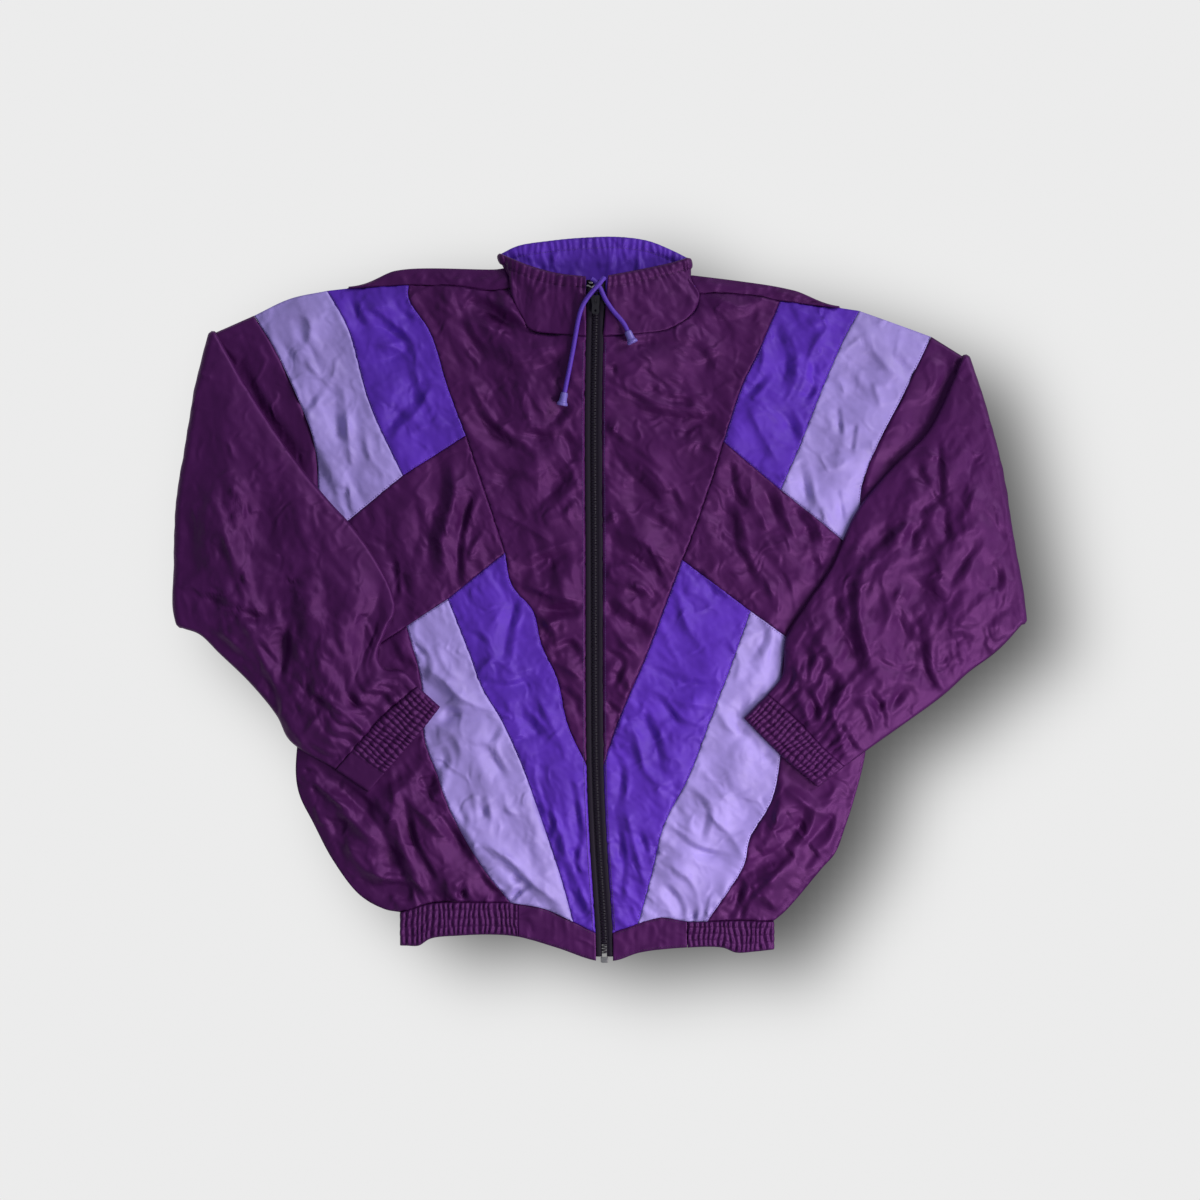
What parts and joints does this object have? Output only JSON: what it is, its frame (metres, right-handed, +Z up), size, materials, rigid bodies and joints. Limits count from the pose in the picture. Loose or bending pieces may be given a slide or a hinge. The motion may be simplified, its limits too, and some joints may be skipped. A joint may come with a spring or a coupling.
{
  "type": "track jacket",
  "caption": "Nylon track jacket with colour-block front, full zip, stand collar, drawstring and elastic cuffs, laid flat with its sleeves folded over the front.",
  "frame": {"origin": "on the floor, under the middle of the jacket as it lies", "axes": "+X to the wearer's left, +Y up to the collar, +Z up off the floor, out of the jacket's front"},
  "size_m": [0.8514, 0.7252, 0.0315],
  "materials": {
    "plum": "shiny crinkled nylon",
    "violet": "shiny crinkled nylon",
    "lavender": "shiny crinkled nylon",
    "zip_cloth": "woven tape",
    "zip_coil": "moulded coil",
    "dark_metal": "dark gunmetal",
    "bright_metal": "bare metal",
    "cord": "round braid",
    "stopper": "moulded"
  },
  "bodies": {
    "jacket": {"back": "plum", "chest_band_left": "plum", "chest_band_right": "plum", "collar_inner": "violet", "collar_outer": "plum", "cuff_left": "plum", "cuff_right": "plum", "drawstring_long": "cord", "drawstring_short": "cord", "front_centre_left": "plum", "front_centre_right": "plum", "hem_elastic": "plum", "hem_flat_left": "plum", "hem_flat_right": "plum", "lower_lavender_left": "lavender", "lower_lavender_right": "lavender", "lower_side_left": "plum", "lower_side_right": "plum", "lower_violet_left": "violet", "lower_violet_right": "violet", "shoulder_lavender_left": "lavender", "shoulder_lavender_right": "lavender", "shoulder_violet_left": "violet", "shoulder_violet_right": "violet", "sleeve_left": "plum", "sleeve_right": "plum", "stopper_long": "stopper", "stopper_short": "stopper", "zip_box": "bright_metal", "zip_coil": "zip_coil", "zip_slider": "dark_metal", "zip_tape_left": "zip_cloth", "zip_tape_right": "zip_cloth"},
    "pull_tab": {"zip_pull": "dark_metal"}
  },
  "joints": [
    {"name": "pull_tab_swing", "type": "hinge", "parent": "jacket", "child": "pull_tab", "pos_m": [-0.00544, 0.299, 0.0234], "axis": [-1, 0, 0], "range_deg": [0, 110]}
  ]
}
